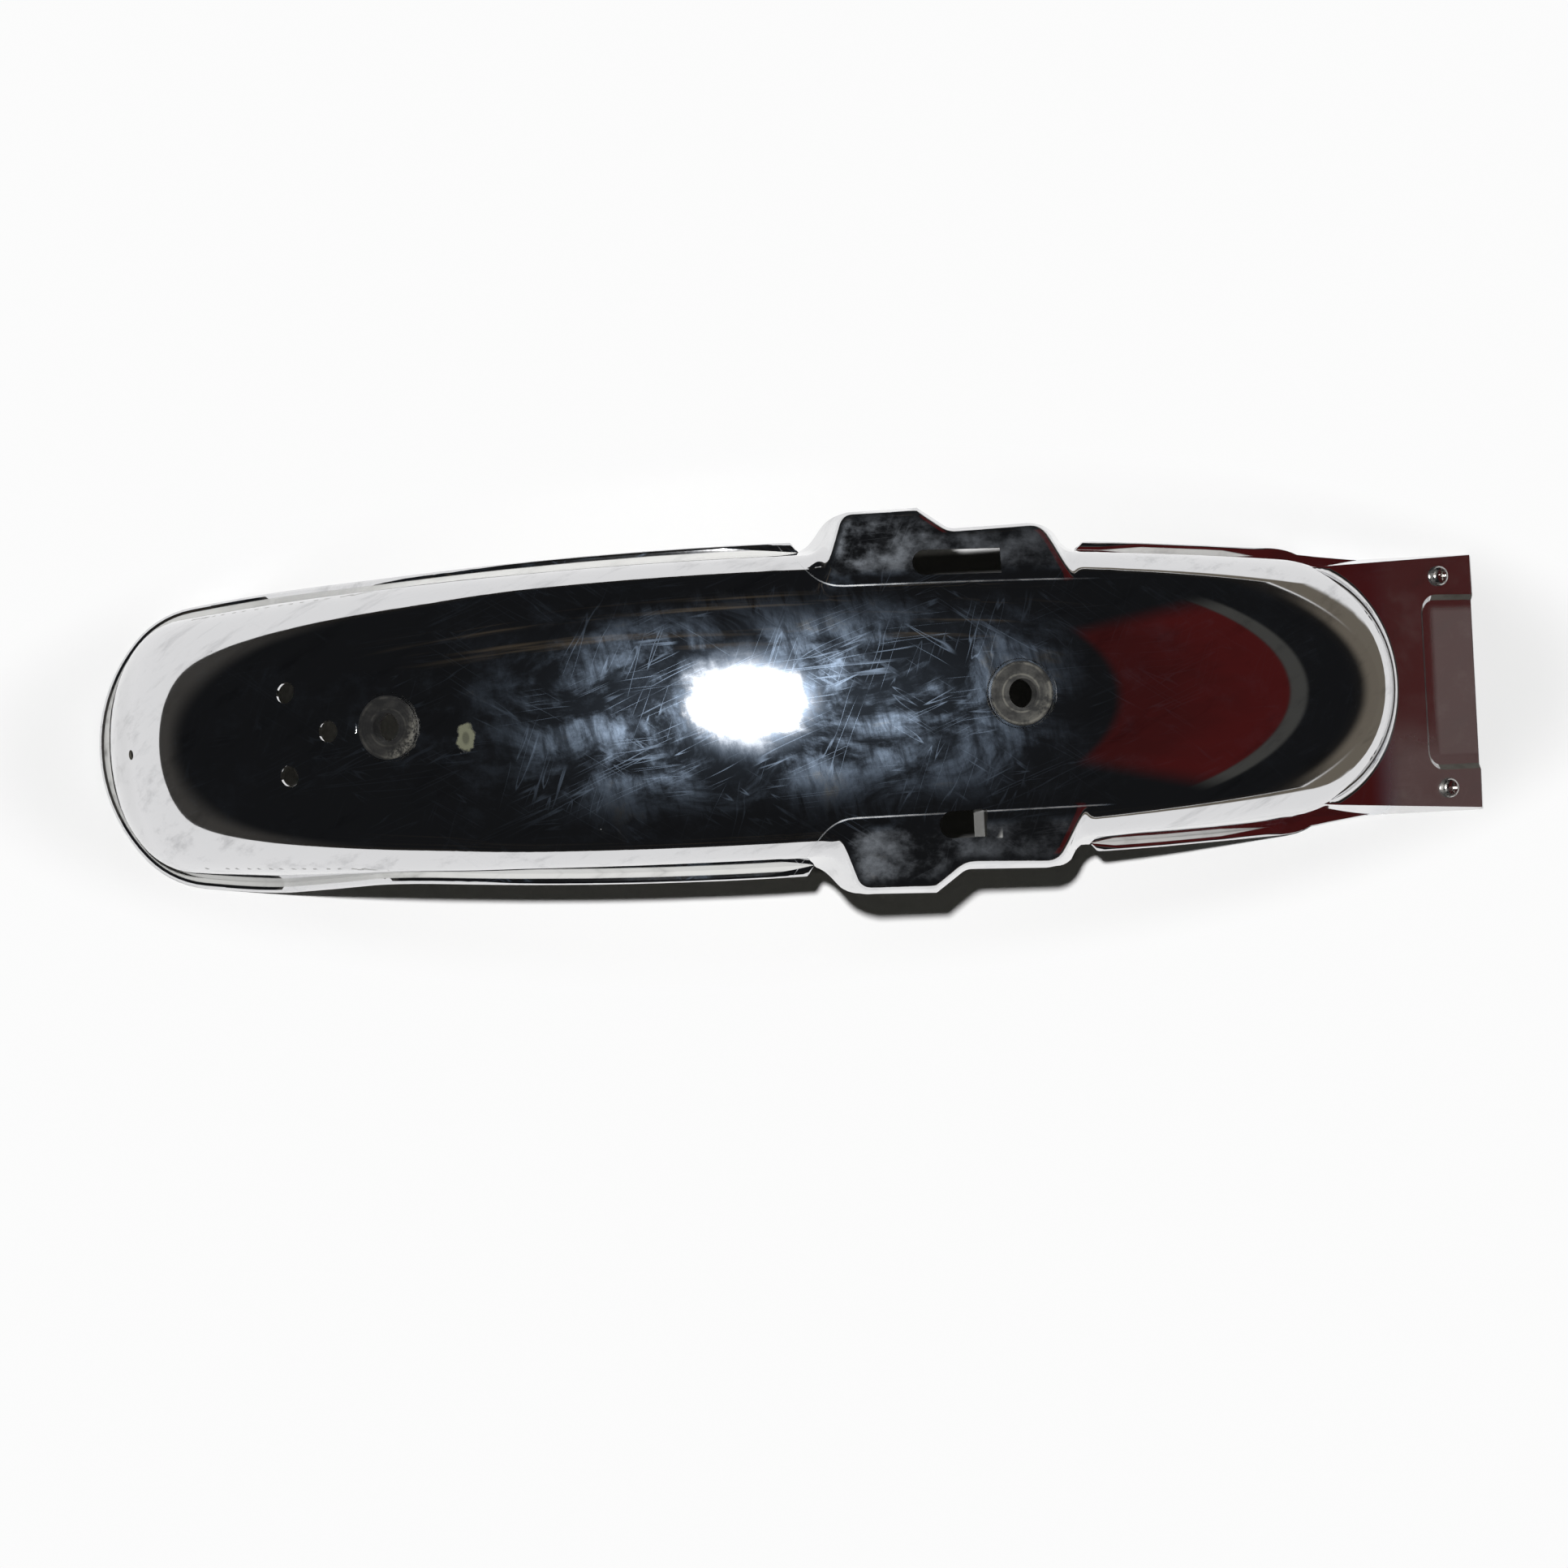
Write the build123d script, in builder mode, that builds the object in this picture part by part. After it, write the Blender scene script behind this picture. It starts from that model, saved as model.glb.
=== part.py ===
"""Rear fender of a motorcycle: one pressed steel shell, two rubber bushes, two screws with nuts."""
import os
from math import asin, cos, radians, sin, sqrt, tan

from build123d import *

# Sheet and rolled hem
sheet = 1.5
hem_out = 5.5
hem_high = 5.5
hem_round = 1.6
hem_front_end_x = 9.0
hem_rear_start_x = 160.0
hem_rear_end_x = 331.0

# Plan outline of the body, where its drafted walls reach the ground
nose_x = -394.0
nose_r = 90.0
nose_wide = 79.0
nose_corner_r = 50.0
dome_end_x = 346.0
dome_end_r = 80.0
side_r = 2300.0
wall_draft = 8.0

# Crown: an arch along X with a round section across it, turned down in a ball at the nose
arch_r = 560.0
arch_x = -19.0
crown_z = 182.0
crown_r = 130.0
crown_part = 130.0
ball_angle = 35.2
shoulder_r = 29.0

# Tail plate
plate_end_x = 395.0
plate_start_x = 240.0
plate_half = 74.0
plate_end_z = 10.0
plate_slope = 25.0
plate_edge_r = 4.0
plate_blend_r = 8.0
plate_blend_x = 300.0
recess_start_x = 364.0
recess_half = 47.0
recess_deep = 2.5
recess_corner_r = 8.0
recess_lean = 50.0

# Side ears, with their outline given at ear_ref_z
ear_ref_z = 140.0
ear_base_z = 95.0
ear_draft = 12.0
ear_fall = 8.0
ear_crease_y = 57.0
ear_edge_r = 4.5
ear_blend_r = 12.0
ear_corner_r = 12.0
ear_waist_r = 24.0
ear_inner_y = 46.0
ear_front_x = 8.0
ear_wide_start_x = 28.0
ear_wide_end_x = 71.0
ear_narrow_start_x = 87.0
ear_narrow_end_x = 136.0
ear_rear_x = 159.0
ear_wide_y = 100.0
ear_waist = 12.0

# Slots in the ears: the long one on the +Y side, the short one on the -Y side
slot_long_start_x = 66.0
slot_long_end_x = 112.0
slot_long_y = 69.5
slot_long_wide = 13.0
slot_short_start_x = 73.0
slot_short_end_x = 98.0
slot_short_y = 65.0
slot_short_wide = 14.0
tab_front_x = 92.0
tab_low_z = 143.0
tab_lean = 25.0

# Lower edge in side view, from nose to tail
rim_nose_x = -303.0
rim_mid_start_x = -213.0
rim_mid_z = 103.0
rim_ear_start_x = 15.0
rim_ear_full_x = 33.0
rim_ear_full_z = 147.0
rim_ear_end_x = 134.0
rim_ear_end_z = 128.0
rim_tail_start_x = 152.0
rim_tail_start_z = 82.0
rim_tail_end_x = 291.0
rim_bend_r = 60.0
rim_ear_r = 8.0

# Holes and bush seats on the crown
lamp_hole_r = 5.75
lamp_pair_x = -265.0
lamp_pair_y = 22.0
lamp_single_x = -241.0
nose_hole_r = 2.75
nose_hole_x = -366.0
nose_hole_y = -4.0
front_seat_x = -208.0
rear_seat_x = 118.0
seat_r = 17.5
seat_deep = 1.6
seat_lean = 50.0

# Bushes
bush_r = 16.5
bush_bore_r = 7.5
bush_neck_r = 11.0
bush_flange = 3.0
bush_clear = 0.1
bush_round = 1.2

# Screws and nuts in the plate
screw_x = 373.5
screw_y = 60.5
screw_r = 3.0
screw_clear = 0.4
screw_head_r = 5.8
screw_head_high = 3.6
screw_head_round = 2.8
screw_long = 12.0
screw_cross = 6.0
screw_cross_wide = 1.3
screw_cross_deep = 1.8
nut_across = 10.0
nut_high = 5.0
nut_clear = 0.05

# Working extents
below = 10.0
tall = 215.0
through = 20.0
tail_angle = 56.0
reach = 300.0

arch_z = crown_z - arch_r
arch_axis = Axis((arch_x, 0, arch_z), (0, 1, 0))
arch_start = Plane(
    origin=(arch_x, 0, arch_z),
    x_dir=(0, 1, 0),
    z_dir=(cos(radians(ball_angle)), 0, sin(radians(ball_angle))),
)
ball = arch_start.from_local_coords(Vector(0, arch_r - crown_r))


def crown_plane(x, y):
    """A plane on the crown at (x, y), with its normal pointing out and its x direction along the arch."""
    across = asin(y / crown_r)
    radius = arch_r - crown_r + crown_r * cos(across)
    along = asin((x - arch_x) / radius)
    normal = (cos(across) * sin(along), sin(across), cos(across) * cos(along))
    return Plane((x, y, arch_z + radius * cos(along)), x_dir=(cos(along), 0, -sin(along)), z_dir=normal)


def nose_plane(x, y):
    """A plane on the ball of the nose above (x, y), with its normal pointing out."""
    out = Vector(x - ball.X, y, sqrt(crown_r**2 - (x - ball.X) ** 2 - y**2))
    return Plane(ball + out, z_dir=out)


def plate_plane(x, y):
    """A plane on the tail plate above (x, y), with its normal pointing out."""
    lean = radians(plate_slope)
    height = plate_end_z + (plate_end_x - x) * tan(lean)
    return Plane((x, y, height), x_dir=(cos(lean), 0, -sin(lean)), z_dir=(sin(lean), 0, cos(lean)))


def circles_meet(first, first_r, second, second_r):
    """Where two circles in plan meet, on the left of the way from the first centre to the second."""
    way = second - first
    along = (way.length**2 + first_r**2 - second_r**2) / (2 * way.length)
    ahead = way.normalized()
    return first + ahead * along + Vector(-ahead.Y, ahead.X) * sqrt(first_r**2 - along**2)


def bulge(centre, radius, first_way, second_way):
    """An arc round a centre from one direction to another, the short way."""
    return ThreePointArc(
        centre + first_way.normalized() * radius,
        centre + (first_way.normalized() + second_way.normalized()).normalized() * radius,
        centre + second_way.normalized() * radius,
    )


def crown(grow):
    """Everything under the arched crown and the ball of the nose, larger all round by grow."""
    with BuildPart() as form:
        with BuildSketch(arch_start):
            with BuildLine():
                top = EllipticalCenterArc(
                    (0, arch_r - crown_r),
                    crown_r + grow,
                    crown_r + grow,
                    start_angle=90 - crown_part / 2,
                    arc_size=crown_part,
                )
                Polyline(top @ 0, (top @ 0) - (0, reach), (top @ 1) - (0, reach), top @ 1)
            make_face()
        revolve(axis=arch_axis, revolution_arc=ball_angle + tail_angle)
        add(nose_ball(grow))
    return form.part


def nose_ball(grow):
    """The half ball that ends the crown, larger all round by grow."""
    with BuildPart() as form:
        with Locations(ball):
            Sphere(crown_r + grow)
        split(bisect_by=arch_start, keep=Keep.BOTTOM)
    return form.part


def dome(grow):
    """The arched body with its rounded nose and tail ends, larger all round by grow."""
    step = grow / cos(radians(wall_draft)) + below * tan(radians(wall_draft))
    nose = Vector(nose_x + nose_r, 0)
    end = Vector(dome_end_x - dome_end_r, 0)
    side = circles_meet(end, side_r - dome_end_r, Vector(nose_x + nose_wide, 0), side_r - nose_wide)
    corner = circles_meet(side, side_r - nose_corner_r, nose, nose_r - nose_corner_r)
    with BuildPart() as form:
        with BuildSketch(Plane.XY.offset(-below)):
            with BuildLine():
                bulge(end, dome_end_r + step, Vector(1, 0), end - side)
                bulge(side, side_r + step, end - side, corner - side)
                bulge(corner, nose_corner_r + step, corner - side, corner - nose)
                bulge(nose, nose_r + step, corner - nose, Vector(-1, 0))
                mirror(about=Plane.XZ)
            make_face()
        extrude(amount=tall, taper=wall_draft)
        add(crown(grow), mode=Mode.INTERSECT)
        top = form.faces().filter_by(lambda f: f.geom_type in (GeomType.REVOLUTION, GeomType.SPHERE))
        fillet(top.edges().filter_by(lambda e: abs(e.center().Y) > sheet), radius=shoulder_r + grow)
        for seat_x in (front_seat_x, rear_seat_x):
            with BuildSketch(crown_plane(seat_x, 0).offset(grow - seat_deep)):
                Circle(seat_r - grow * tan(radians(seat_lean / 2)))
            extrude(amount=through, taper=-seat_lean, mode=Mode.SUBTRACT)
    return form.part


def tail_plate(grow):
    """The block under the tail plate: drafted sides, sloping top and the open recess."""
    step = grow / cos(radians(wall_draft)) + below * tan(radians(wall_draft))
    top = plate_plane(plate_end_x, 0).offset(grow)
    end_x = plate_end_x + plate_half
    spread = grow * tan(radians(recess_lean / 2))
    with BuildPart() as form:
        with BuildSketch(Plane.XY.offset(-below)):
            with Locations(((plate_start_x + end_x) / 2, 0)):
                Rectangle(end_x - plate_start_x, 2 * (plate_half + step))
        extrude(amount=tall, taper=wall_draft)
        split(bisect_by=top, keep=Keep.BOTTOM)
        sides = form.faces().sort_by(Axis.Z)[-1].edges().filter_by(lambda e: abs(e.center().Y) > 1)
        fillet(sides, radius=plate_edge_r + grow)
        with BuildSketch(top.offset(-recess_deep)):
            with Locations((0, 0)):
                Rectangle(
                    2 * ((plate_end_x - recess_start_x) / cos(radians(plate_slope)) - spread),
                    2 * (recess_half - spread),
                )
            fillet(vertices(), radius=recess_corner_r - spread)
        extrude(amount=through, taper=-recess_lean, mode=Mode.SUBTRACT)
    return form.part


def ear(grow):
    """The pressed ear on the +Y side: drafted flanks under a ledge that follows the arch."""
    step = grow / cos(radians(ear_draft)) + (ear_ref_z - ear_base_z) * tan(radians(ear_draft))
    crease = arch_r - crown_r + sqrt(crown_r**2 - ear_crease_y**2) + grow
    fall = tan(radians(ear_fall))
    far = ear_wide_y + 3 * shoulder_r
    with BuildPart() as form:
        with BuildSketch(Plane.XY.offset(ear_base_z)):
            with BuildLine():
                Polyline(
                    (ear_front_x, ear_inner_y),
                    (ear_rear_x, ear_inner_y),
                    (ear_narrow_end_x, ear_wide_y - ear_waist),
                    (ear_narrow_start_x, ear_wide_y - ear_waist),
                    (ear_wide_end_x, ear_wide_y),
                    (ear_wide_start_x, ear_wide_y),
                    close=True,
                )
            make_face()
            offset(amount=step, kind=Kind.INTERSECTION)
            front, knee, waist, rear = vertices().filter_by(lambda v: v.Y > ear_crease_y).sort_by(Axis.X)
            fillet([front, rear], radius=ear_corner_r + step)
            fillet(knee, radius=ear_waist_r + step)
            fillet(waist, radius=ear_waist_r - step)
        extrude(amount=tall - ear_base_z, taper=ear_draft)
        with BuildSketch(arch_start):
            with BuildLine():
                Polyline(
                    (0, crease + ear_crease_y * fall),
                    (far, crease + (ear_crease_y - far) * fall),
                    (far, crease - reach),
                    (0, crease - reach),
                    close=True,
                )
            make_face()
        revolve(axis=arch_axis, revolution_arc=ball_angle + tail_angle, mode=Mode.INTERSECT)
        ledge = form.faces().sort_by(Axis.Z)[-1]
        fillet(ledge.edges().filter_by(lambda e: e.center().Y > ear_crease_y), radius=ear_edge_r + grow)
    return form.part


def slot(start_x, end_x, mid_y, wide):
    """A slot through an ear, round at its front end and square at its rear end."""
    with BuildPart() as form:
        with BuildSketch(Plane.XY.offset(ear_base_z)):
            with Locations(((start_x + wide / 2 + end_x) / 2, mid_y)):
                Rectangle(end_x - start_x - wide / 2, wide)
            with Locations((start_x + wide / 2, mid_y)):
                Circle(wide / 2)
        extrude(amount=tall)
    return form.part


def rim_face():
    """Side view of everything above the lower edge."""
    with BuildSketch() as face:
        with BuildLine():
            FilletPolyline(
                (nose_x - below, 0),
                (rim_nose_x, 0),
                (rim_mid_start_x, rim_mid_z),
                (rim_ear_start_x, rim_mid_z),
                (rim_ear_full_x, rim_ear_full_z),
                (rim_ear_end_x, rim_ear_end_z),
                (rim_tail_start_x, rim_tail_start_z),
                (rim_tail_end_x, 0),
                (plate_end_x, 0),
                radius=[rim_bend_r] * 2 + [rim_ear_r] * 4 + [rim_bend_r],
            )
            Polyline((plate_end_x, 0), (plate_end_x, tall), (nose_x - below, tall), (nose_x - below, 0))
        make_face()
    return face.sketch


def body(grow):
    """The whole outside, larger all round by grow."""
    with BuildPart() as form:
        add(dome(grow))
        add(tail_plate(grow))
        foot = form.edges(Select.NEW).filter_by(lambda e: e.center().X > plate_blend_x)
        fillet(foot, radius=plate_blend_r - grow)
        add(ear(grow))
        creases = form.edges(Select.NEW)
        mirror(ear(grow), about=Plane.XZ)
        creases += form.edges(Select.NEW)
        fillet(creases.filter_by(lambda e: e.center().Z > ear_base_z + 1), radius=ear_blend_r - grow)
    return form.part


def hem(start_x, end_x):
    """The rolled hem between start_x and end_x, standing out from the sheet with rounded edges."""
    with BuildPart() as form:
        with BuildSketch(Plane.XZ):
            add(rim_face())
            with Locations((0, hem_high)):
                add(rim_face(), mode=Mode.SUBTRACT)
        extrude(amount=reach, both=True)
        with BuildSketch(Plane.XY):
            with Locations(((start_x + end_x) / 2, 0)):
                Rectangle(end_x - start_x, reach)
        extrude(amount=rim_ear_end_z, mode=Mode.INTERSECT)
        add(swollen.part, mode=Mode.INTERSECT)
        add(inside, mode=Mode.SUBTRACT)
        far = form.edges().filter_by(lambda e: outside.distance_to(Vertex(e @ 0.5)) > hem_out / 2)
        fillet(far, radius=hem_round)
    return form.part


def bush(seat_x):
    """A rubber bush in the round seat at seat_x, with a groove that holds the sheet."""
    seat = crown_plane(seat_x, 0).offset(-seat_deep)
    with BuildPart() as form:
        with BuildSketch(seat, seat.offset(-sheet - bush_flange)):
            Circle(bush_r)
        extrude(amount=bush_flange)
        fillet(form.edges().filter_by(GeomType.CIRCLE), radius=bush_round)
        with BuildSketch(seat):
            Circle(bush_neck_r)
        extrude(amount=-sheet)
        with BuildSketch(seat):
            Circle(bush_bore_r)
        extrude(amount=through, both=True, mode=Mode.SUBTRACT)
    return form.part


with BuildPart() as swollen:
    add(dome(hem_out))
    add(tail_plate(hem_out))

outside = body(0)
inside = body(-sheet)

with BuildPart() as slot_tab:
    run = (crown_z - tab_low_z) * tan(radians(tab_lean))
    thick = sheet / cos(radians(tab_lean))
    with BuildSketch(Plane.XZ.offset(slot_short_y)):
        with BuildLine():
            Polyline(
                (tab_front_x, tab_low_z),
                (tab_front_x + thick, tab_low_z),
                (tab_front_x + thick + run, crown_z),
                (tab_front_x + run, crown_z),
                close=True,
            )
        make_face()
    extrude(amount=slot_short_wide / 2, both=True)
    add(outside, mode=Mode.INTERSECT)

with BuildPart() as fender_shell:
    add(outside)
    add(inside, mode=Mode.SUBTRACT)
    with BuildSketch(Plane.XZ):
        add(rim_face())
    extrude(amount=reach, both=True, mode=Mode.INTERSECT)
    add(hem(nose_x - below, hem_front_end_x))
    add(hem(hem_rear_start_x, hem_rear_end_x))
    add(slot(slot_long_start_x, slot_long_end_x, slot_long_y, slot_long_wide), mode=Mode.SUBTRACT)
    add(slot(slot_short_start_x, slot_short_end_x, -slot_short_y, slot_short_wide), mode=Mode.SUBTRACT)
    add(slot_tab.part)
    with BuildSketch(
        crown_plane(lamp_pair_x, lamp_pair_y),
        crown_plane(lamp_pair_x, -lamp_pair_y),
        crown_plane(lamp_single_x, 0),
    ):
        Circle(lamp_hole_r)
    extrude(amount=through, both=True, mode=Mode.SUBTRACT)
    with BuildSketch(nose_plane(nose_hole_x, nose_hole_y)):
        Circle(nose_hole_r)
    extrude(amount=through, both=True, mode=Mode.SUBTRACT)
    with BuildSketch(crown_plane(front_seat_x, 0), crown_plane(rear_seat_x, 0)):
        Circle(bush_neck_r + bush_clear)
    extrude(amount=through, both=True, mode=Mode.SUBTRACT)
    with BuildSketch(plate_plane(screw_x, screw_y), plate_plane(screw_x, -screw_y)):
        Circle(screw_r + screw_clear)
    extrude(amount=through, both=True, mode=Mode.SUBTRACT)

with BuildPart() as front_bush:
    add(bush(front_seat_x))

with BuildPart() as rear_bush:
    add(bush(rear_seat_x))

with BuildPart() as plate_screws:
    with BuildSketch(plate_plane(screw_x, screw_y), plate_plane(screw_x, -screw_y)):
        Circle(screw_head_r)
    extrude(amount=screw_head_high)
    tops = plate_screws.faces().filter_by(plate_plane(screw_x, 0)).sort_by(Axis.Z)[-2:]
    fillet(tops.edges(), radius=screw_head_round)
    with BuildSketch(plate_plane(screw_x, screw_y), plate_plane(screw_x, -screw_y)):
        Circle(screw_r)
    extrude(amount=-screw_long)
    with BuildSketch(
        plate_plane(screw_x, screw_y).offset(screw_head_high),
        plate_plane(screw_x, -screw_y).offset(screw_head_high),
    ):
        Rectangle(screw_cross, screw_cross_wide)
        Rectangle(screw_cross_wide, screw_cross)
    extrude(amount=-screw_cross_deep, mode=Mode.SUBTRACT)

with BuildPart() as plate_nuts:
    with BuildSketch(
        plate_plane(screw_x, screw_y).offset(-sheet),
        plate_plane(screw_x, -screw_y).offset(-sheet),
    ):
        RegularPolygon(nut_across / 2, 6, major_radius=False)
        Circle(screw_r + nut_clear, mode=Mode.SUBTRACT)
    extrude(amount=-nut_high)

os.makedirs("parts", exist_ok=True)
fender_shell.part.label = "fender_shell"
export_step(fender_shell.part, "parts/fender_shell.step")
front_bush.part.label = "front_bush"
export_step(front_bush.part, "parts/front_bush.step")
rear_bush.part.label = "rear_bush"
export_step(rear_bush.part, "parts/rear_bush.step")
plate_screws.part.label = "plate_screws"
export_step(plate_screws.part, "parts/plate_screws.step")
plate_nuts.part.label = "plate_nuts"
export_step(plate_nuts.part, "parts/plate_nuts.step")
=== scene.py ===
import math

import bmesh
import bpy
import numpy as np
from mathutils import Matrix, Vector, kdtree


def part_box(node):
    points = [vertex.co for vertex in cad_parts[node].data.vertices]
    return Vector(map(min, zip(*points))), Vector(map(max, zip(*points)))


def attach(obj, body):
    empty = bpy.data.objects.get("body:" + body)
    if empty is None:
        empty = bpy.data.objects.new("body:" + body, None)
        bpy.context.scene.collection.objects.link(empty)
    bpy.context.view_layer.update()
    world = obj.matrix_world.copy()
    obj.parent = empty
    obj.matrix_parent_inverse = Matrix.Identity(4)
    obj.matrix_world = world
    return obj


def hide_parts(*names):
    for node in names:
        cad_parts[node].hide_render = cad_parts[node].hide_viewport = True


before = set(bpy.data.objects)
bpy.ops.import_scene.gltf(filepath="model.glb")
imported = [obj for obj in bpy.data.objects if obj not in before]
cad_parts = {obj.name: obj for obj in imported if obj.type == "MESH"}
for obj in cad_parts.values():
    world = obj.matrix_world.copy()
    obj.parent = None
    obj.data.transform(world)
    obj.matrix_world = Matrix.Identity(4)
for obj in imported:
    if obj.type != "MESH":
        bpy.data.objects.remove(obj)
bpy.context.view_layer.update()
scene = bpy.context.scene
scene.view_settings.view_transform = "Standard"


class Shade:
    # a socket that takes part in Python sums; each operation adds one Math node
    def __init__(self, kit, socket):
        self.kit = kit
        self.socket = socket

    def math(self, operation, *values):
        return self.kit.node("ShaderNodeMath", {"operation": operation}, dict(enumerate(values)))

    def __add__(self, other):
        return self.math("ADD", self, other)

    def __radd__(self, other):
        return self.math("ADD", other, self)

    def __sub__(self, other):
        return self.math("SUBTRACT", self, other)

    def __rsub__(self, other):
        return self.math("SUBTRACT", other, self)

    def __mul__(self, other):
        return self.math("MULTIPLY", self, other)

    def __rmul__(self, other):
        return self.math("MULTIPLY", other, self)

    def __truediv__(self, other):
        return self.math("DIVIDE", self, other)

    def __pow__(self, other):
        return self.math("POWER", self, other)

    def bigger(self, other):
        return self.math("MAXIMUM", self, other)

    def smaller(self, other):
        return self.math("MINIMUM", self, other)

    def size(self):
        return self.math("ABSOLUTE", self)


# Scratches lie in patches, with sizes in metres
patchSet = {"size": (0.045, 0.03), "deep": 0.5, "show": (0.52, 0.64)}


class Kit:
    # one material's or world's node tree
    def __init__(self, holder):
        holder.use_nodes = True
        self.tree = holder.node_tree
        self.tree.nodes.clear()

    def node(self, kind, settings=None, inputs=None, output=0):
        made = self.tree.nodes.new(kind)
        for key, value in (settings or {}).items():
            setattr(made, key, value)
        for key, value in (inputs or {}).items():
            if isinstance(value, Shade):
                self.tree.links.new(value.socket, made.inputs[key])
            else:
                made.inputs[key].default_value = value
        return Shade(self, made.outputs[output]) if made.outputs else None

    def spread(self, value, low, high):
        # 0 at low, 1 at high, eased at both ends
        return self.node("ShaderNodeMapRange", {"interpolation_type": "SMOOTHSTEP"},
                         {"Value": value, "From Min": low, "From Max": high})

    def parts(self, vector):
        split = self.node("ShaderNodeSeparateXYZ", None, {0: vector})
        return [Shade(self, socket) for socket in split.socket.node.outputs]

    def place(self, size=(0.001, 0.001, 0.001), turn=0.0, middle=(0, 0, 0)):
        # object coordinates counted in steps of size, from middle, along a turned x
        spot = self.node("ShaderNodeTexCoord", output=3)
        return self.node("ShaderNodeMapping", {"vector_type": "TEXTURE"},
                         {"Vector": spot, "Scale": size, "Location": middle,
                          "Rotation": (0, 0, math.radians(turn))})

    def noise(self, vector, detail=3.0, rough=0.55, warp=0.0):
        return self.node("ShaderNodeTexNoise", None,
                         {"Vector": vector, "Scale": 1.0, "Detail": detail, "Roughness": rough,
                          "Distortion": warp})

    def scratches(self, size, turn, seed, fine):
        # thin long marks: the level lines of a stretched noise, kept only in patches
        deep = patchSet["deep"]
        lines = self.noise(self.place((*size, deep), turn, (seed, seed, 0)), 1.0)
        patches = self.noise(self.place((*patchSet["size"], deep), turn, (-seed, seed, 0)), 2.0)
        return (1 - self.spread((lines - 0.5).size(), 0.0, fine)) * self.spread(patches, *patchSet["show"])

    def specks(self, size, share, radius):
        # small dots, one to a cell, in a share of the cells
        spot = self.place((size, size, size))
        cells = self.node("ShaderNodeTexVoronoi", None, {"Vector": spot, "Scale": 1.0})
        tint = Shade(self, cells.socket.node.outputs["Color"])
        pick = self.parts(tint)[0]
        return (1 - self.spread(cells, radius * 0.5, radius)) * self.spread(pick, 1 - share, 1.02 - share)

    def blendColor(self, factor, first, second):
        return self.node("ShaderNodeMix", {"data_type": "RGBA"}, {0: factor, 6: first, 7: second}, output=2)

    def finish(self, body, kind="ShaderNodeOutputMaterial"):
        self.node(kind, None, {"Surface": body})


# Camera: straight down, turned so that the fender rises to the right of the picture
cameraSet = {"place": (-0.0058, -0.0499, 1.35), "turn": 2.98, "sensor": 36,
             "mmPerPixel": 0.47, "image": 1932, "nadirRow": 990.5}
lens = bpy.data.cameras.new("camera")
lens.sensor_width = cameraSet["sensor"]
pictureWidth = cameraSet["mmPerPixel"] * cameraSet["image"]
lens.lens = cameraSet["sensor"] * cameraSet["place"][2] * 1000 / pictureWidth
lens.shift_y = (cameraSet["nadirRow"] - cameraSet["image"] / 2) / cameraSet["image"]
lens.clip_end = 50
camera = bpy.data.objects.new("camera", lens)
camera.location = cameraSet["place"]
camera.rotation_euler = (0, 0, -math.radians(cameraSet["turn"]))
scene.collection.objects.link(camera)
scene.camera = camera
print("camera placed")

# Light: a small flash above the fender, in a dark room over a white table
lampSet = {"place": (-0.063, 0.072, 1.35), "size": 0.045, "power": 19.4}
# the room by direction: x toward the plate, y toward the long slot's side, z up;
# a pair is start and end of a blend
roomSet = {"dark": (0.009, 0.0095, 0.0105, 1), "table": 0.97, "fill": (0.030, 0.030, 0.027, 1),
           "noseGlow": (0.055, 0.052, 0.048, 1), "noseFade": (0.05, 0.15), "noseWay": (0.6, 0.9),
           "sideGlow": (0.020, 0.018, 0.016, 1), "sideFade": (0.0, 0.10),
           "plateGlow": (0.16, 0.14, 0.112, 1), "plateFade": (0.02, 0.062), "plateWay": (0.80, 0.96),
           "redNear": (0.068, 0.0095, 0.0095, 1), "redFar": (0.046, 0.0085, 0.0085, 1),
           "redRise": (0.275, 0.81), "redFull": 0.68, "redWide": (0.62, 0.85), "redAhead": (0.1, 0.3),
           "redGrain": 9.0, "redMottle": 0.9, "redBow": 0.6, "redFoot": 0.006, "redTop": (0.03, 0.02),
           "strip": (0.062, 0.062, 0.058, 1), "stripLow": 0.225, "stripFoot": 0.008,
           "streak": (0.085, 0.066, 0.044, 1), "streakSize": (2.2, 8.0), "streakCut": 0.4,
           "streakShow": (0.56, 0.74), "streakReach": (0.45, 0.75),
           "nearBand": ((0.5, 0.7), (1.1, 1.9)), "farBand": ((2.2, 3.0), (5.0, 8.0))}
# under the ears the paper gets a painted shade, a darker gray patch
tableSet = {"half": 9.0, "shade": 0.9, "clear": (0.415, 0.13), "near": 1.0, "far": 1.2,
            "beyond": (0.17, 0.15, 0.12, 1), "edge": (0.85, 1.15),
            "under": (0.085, 0.092), "underHalf": (0.07, 0.08), "underSoft": 0.004, "dim": 0.16}

glow = bpy.data.lights.new("lamp", "AREA")
glow.shape = "DISK"
glow.size = lampSet["size"]
glow.energy = lampSet["power"]
lamp = bpy.data.objects.new("lamp", glow)
lamp.location = lampSet["place"]
lamp.rotation_euler = (-Vector(lampSet["place"])).to_track_quat("-Z", "Y").to_euler()
scene.collection.objects.link(lamp)


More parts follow.
